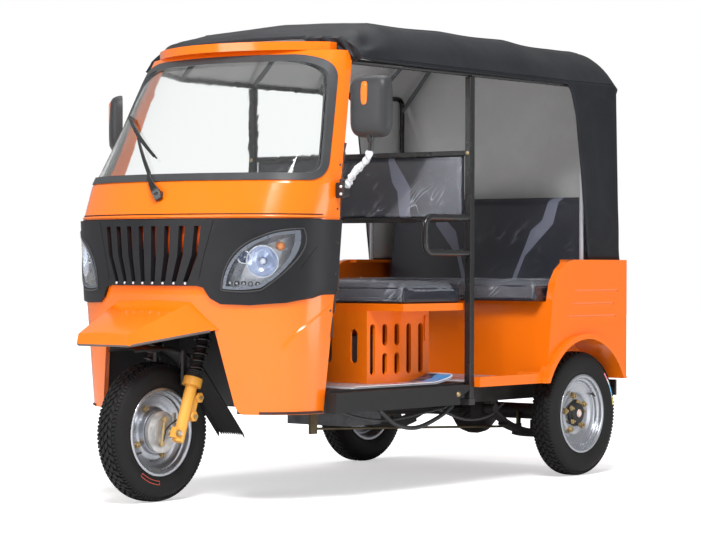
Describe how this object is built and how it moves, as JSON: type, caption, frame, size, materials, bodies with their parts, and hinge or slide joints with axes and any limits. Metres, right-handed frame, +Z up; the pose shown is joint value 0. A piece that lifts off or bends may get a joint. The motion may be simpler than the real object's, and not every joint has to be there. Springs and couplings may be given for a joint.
{
  "type": "auto rickshaw",
  "caption": "Three-wheeled passenger carrier with a steel cab, steered front wheel, bench seats, tubular roof frame and cloth canopy.",
  "frame": {"origin": "on the ground, under the middle of the vehicle's length and width", "axes": "+Z up, -Y towards the front, +X towards the vehicle's left side"},
  "size_m": [1.655, 2.689, 1.9098],
  "materials": {
    "orange_paint": "gloss paint",
    "black_frame": "satin black paint",
    "grey_tube": "satin paint",
    "black_plastic": "fine grained moulding",
    "black_rubber": "matt rubber",
    "tyre_rubber": "matt tread rubber",
    "silver_wheel": "silver wheel paint",
    "gold_fork": "gold paint",
    "clear_glass": "clear, polished",
    "lamp_lens": "clear, polished",
    "canopy_vinyl": "coated cloth",
    "seat_vinyl": "grained vinyl",
    "mat_rubber": "ribbed rubber",
    "cast_metal": "cast, oily",
    "bare_steel": "bare steel",
    "exhaust_steel": "heat-dulled black",
    "tail_red": "moulded lens",
    "bright_bowl": "bright plated"
  },
  "bodies": {
    "root": {"chassis_frame": "black_frame", "floor_pan": "black_frame", "floor_mats": "mat_rubber", "wheel_well_liner": "black_frame", "front_apron": "orange_paint", "grille_band": "black_plastic", "headlight_bezels": "black_plastic", "headlight_lenses": "lamp_lens", "headlight_bowls": "bright_bowl", "cab_frame": "orange_paint", "windshield_seal": "black_rubber", "windshield_glass": "clear_glass", "dash_shelf": "black_plastic", "wiper": "black_plastic", "front_fender": "orange_paint", "mirrors": "black_plastic", "bulkhead_frame": "black_frame", "driver_backrest": "seat_vinyl", "driver_seat_box": "orange_paint", "driver_seat_platform": "orange_paint", "driver_cushion": "seat_vinyl", "rear_tub": "orange_paint", "passenger_cushion": "seat_vinyl", "passenger_backrest": "seat_vinyl", "rear_bumper": "black_frame", "tail_lamps": "tail_red", "canopy": "canopy_vinyl", "roof_rails": "grey_tube", "roof_bows": "grey_tube", "engine_block": "cast_metal", "propshaft": "black_frame", "rear_axle": "black_frame", "leaf_springs": "black_frame", "exhaust": "exhaust_steel", "brake_linkage": "bare_steel"},
    "fork": {"fork_crown": "black_frame", "fork_springs": "black_frame", "fork_lower_legs": "gold_fork", "front_axle": "bare_steel", "wheel_mudguard": "black_plastic", "handlebar": "black_frame", "handlebar_grips": "black_rubber"},
    "front_wheel": {"front_rim": "silver_wheel", "front_tyre": "tyre_rubber"},
    "rear_left_wheel": {"rear_left_rim": "silver_wheel", "rear_left_tyre": "tyre_rubber"},
    "rear_right_wheel": {"rear_right_rim": "silver_wheel", "rear_right_tyre": "tyre_rubber"}
  },
  "joints": [
    {"name": "steering", "type": "hinge", "parent": "root", "child": "fork", "pos_m": [0, -1.0205, 0.27], "axis": [0, 0.342, 0.9397], "range_deg": [-36, 36]},
    {"name": "front_wheel_spin", "type": "hinge", "parent": "fork", "child": "front_wheel", "pos_m": [0, -1.0675, 0.27], "axis": [1, 0, 0], "continuous": true},
    {"name": "rear_left_wheel_spin", "type": "hinge", "parent": "root", "child": "rear_left_wheel", "pos_m": [0.59, 0.9785, 0.27], "axis": [1, 0, 0], "continuous": true},
    {"name": "rear_right_wheel_spin", "type": "hinge", "parent": "root", "child": "rear_right_wheel", "pos_m": [-0.59, 0.9785, 0.27], "axis": [1, 0, 0], "continuous": true}
  ]
}
